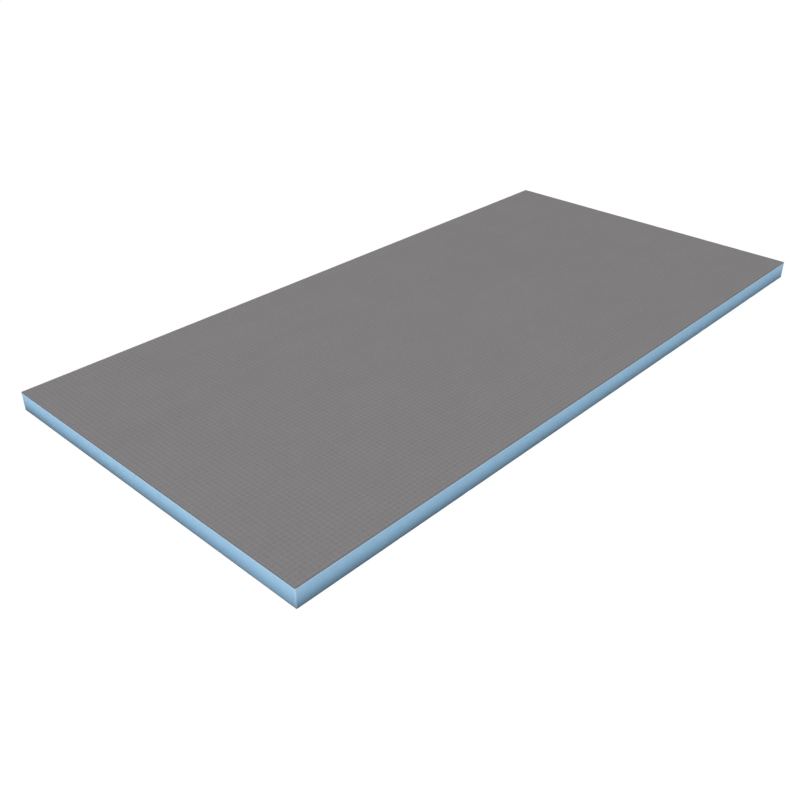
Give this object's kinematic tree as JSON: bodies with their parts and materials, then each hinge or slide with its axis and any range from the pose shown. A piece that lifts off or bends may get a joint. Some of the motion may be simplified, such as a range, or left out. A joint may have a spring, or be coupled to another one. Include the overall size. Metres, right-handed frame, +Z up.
{
  "type": "foam tile backer board",
  "caption": "Flat rectangular tile backer board: blue extruded foam core with a thin grey mesh-reinforced mortar coat on both faces; sawn edges.",
  "frame": {"origin": "centre of the board's underside, where it lies on the floor", "axes": "+X along the long edges, +Y along the short edges, +Z up through the thickness"},
  "size_m": [1.2, 0.6, 0.03],
  "materials": {
    "foam": "matte",
    "mortar": "matte"
  },
  "bodies": {
    "root": {"foam_core": "foam", "top_mortar_coat": "mortar", "bottom_mortar_coat": "mortar"}
  },
  "joints": []
}
